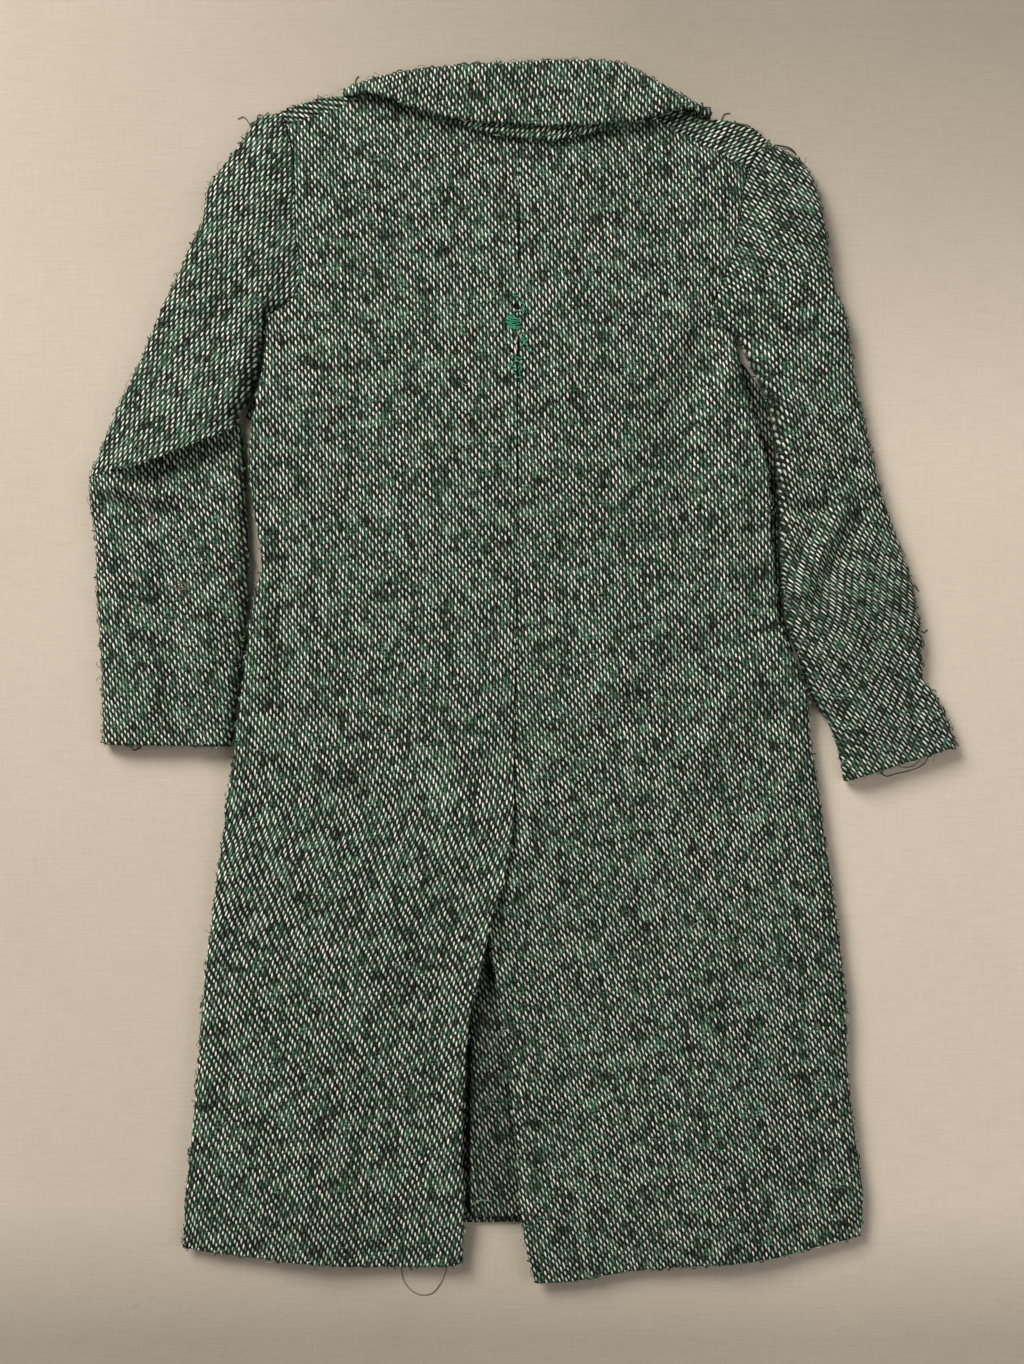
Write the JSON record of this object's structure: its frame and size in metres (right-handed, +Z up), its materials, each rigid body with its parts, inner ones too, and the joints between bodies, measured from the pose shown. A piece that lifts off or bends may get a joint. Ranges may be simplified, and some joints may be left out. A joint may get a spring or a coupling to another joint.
{
  "type": "doll's tweed coat, laid flat face down",
  "caption": "Small tweed coat lying flat with its back up: two back panels with a lapped vent, two fronts lapped beneath, bent sleeves and a turned-over collar.",
  "frame": {"origin": "on the surface the coat lies on, under the middle of its outline", "axes": "+Y from the hem to the collar, +Z up out of the coat's back, +X to the viewer's right looking down on the back"},
  "size_m": [0.1396, 0.196, 0.0056],
  "materials": {
    "tweed_back": "rough woollen tweed, green, near-black and off-white yarns",
    "tweed_front": "rough woollen tweed, wrong side in the vent",
    "tweed_sleeve": "rough woollen tweed",
    "tweed_collar": "rough woollen tweed, the under collar cut on the bias",
    "darning_thread": "bright green mending thread",
    "loose_yarn": "pale frayed wool yarn"
  },
  "bodies": {
    "root": {"back_left": "tweed_back", "back_right": "tweed_back", "front_left": "tweed_front", "front_right": "tweed_front", "sleeve_left": "tweed_sleeve", "sleeve_right": "tweed_sleeve", "collar_upper": "tweed_collar", "collar_under": "tweed_collar"}
  },
  "joints": []
}
